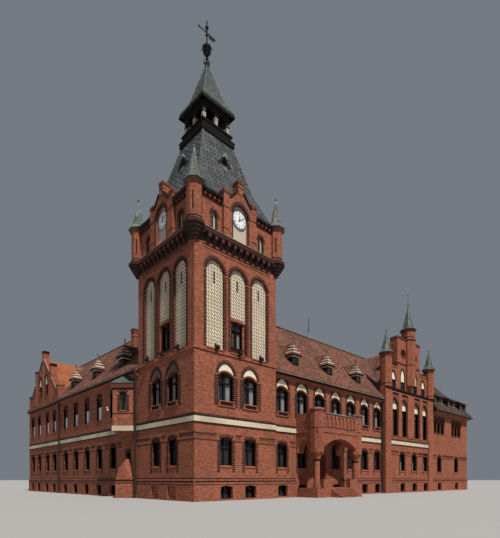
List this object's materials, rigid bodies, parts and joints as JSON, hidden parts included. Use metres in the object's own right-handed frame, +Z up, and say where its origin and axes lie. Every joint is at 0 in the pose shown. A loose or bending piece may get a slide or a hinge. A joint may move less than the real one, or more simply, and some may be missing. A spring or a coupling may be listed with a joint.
{
  "type": "town hall building (1:2 scale model)",
  "caption": "Corner town hall with a square clock tower, a spired lantern, two long wings, a stepped gable and a porch.",
  "frame": {"origin": "the middle of the tower, on the ground under the building", "axes": "+Z up, +X along the main front away from the tower, +Y along the side street; the main front faces -Y"},
  "size_m": [24.7681, 20.14, 18.88],
  "materials": {
    "brick": "fired brick in bond",
    "plaster": "light plaster",
    "light_stone": "light band",
    "slate": "dark slates",
    "roof_tile": "weathered clay tiles",
    "orange_tile": "newer clay tiles",
    "timber": "dark painted timber",
    "iron": "black paint",
    "dial": "white enamel paint",
    "glass": "clear",
    "concrete": "plain slab"
  },
  "bodies": {
    "root": {"basement_floor": "concrete", "ground_floor": "concrete", "first_floor": "concrete", "attic_floor": "concrete", "tower_floors": "concrete", "tower_base": "brick", "tower_shaft": "brick", "niche_panels": "plaster", "corbel_table": "brick", "clock_stage": "brick", "clock_gables": "brick", "corner_turrets": "brick", "turret_spires": "slate", "clock_dials": "dial", "tower_roof": "slate", "tower_dormers": "slate", "lantern_base": "timber", "lantern_posts": "timber", "lantern_arches": "timber", "lantern_spire": "slate", "spire_finial": "iron", "main_front_wall": "brick", "side_front_wall": "brick", "courtyard_walls": "brick", "side_end_wall": "brick", "side_gable": "brick", "main_roof": "roof_tile", "side_roof": "roof_tile", "side_gable_roof": "orange_tile", "wing_dormers": "timber", "pavilion_wall": "brick", "pavilion_gable": "brick", "pavilion_turrets": "brick", "pavilion_spires": "slate", "pavilion_roof": "roof_tile", "annex_walls": "brick", "annex_roof": "roof_tile", "annex_dormers": "timber", "oriel": "brick", "oriel_roof": "slate", "portal": "brick", "balcony": "brick", "light_band": "light_stone", "window_heads": "plaster", "window_glass": "glass", "courtyard_glass": "glass", "eaves_boxes": "timber", "chimneys": "brick", "downpipes": "iron"},
    "vane": {"weather_vane": "iron"},
    "minute_front": {"minute_hand_front": "iron"},
    "hour_front": {"hour_hand_front": "iron"},
    "minute_side": {"minute_hand_side": "iron"},
    "hour_side": {"hour_hand_side": "iron"}
  },
  "joints": [
    {"name": "vane_turn", "type": "hinge", "parent": "root", "child": "vane", "pos_m": [0, 0, 18.42], "axis": [0, 0, 1], "continuous": true},
    {"name": "minute_front_turn", "type": "hinge", "parent": "root", "child": "minute_front", "pos_m": [0, -1.985, 10.13], "axis": [0, 1, 0], "continuous": true},
    {"name": "hour_front_turn", "type": "hinge", "parent": "root", "child": "hour_front", "pos_m": [0, -1.985, 10.13], "axis": [0, 1, 0], "continuous": true},
    {"name": "minute_side_turn", "type": "hinge", "parent": "root", "child": "minute_side", "pos_m": [-1.985, 0, 10.13], "axis": [1, 0, 0], "continuous": true},
    {"name": "hour_side_turn", "type": "hinge", "parent": "root", "child": "hour_side", "pos_m": [-1.985, 0, 10.13], "axis": [1, 0, 0], "continuous": true}
  ],
  "couplings": [
    {"joint": "hour_front_turn", "follows": "minute_front_turn", "ratio": 0.083333},
    {"joint": "hour_side_turn", "follows": "minute_side_turn", "ratio": 0.083333}
  ]
}
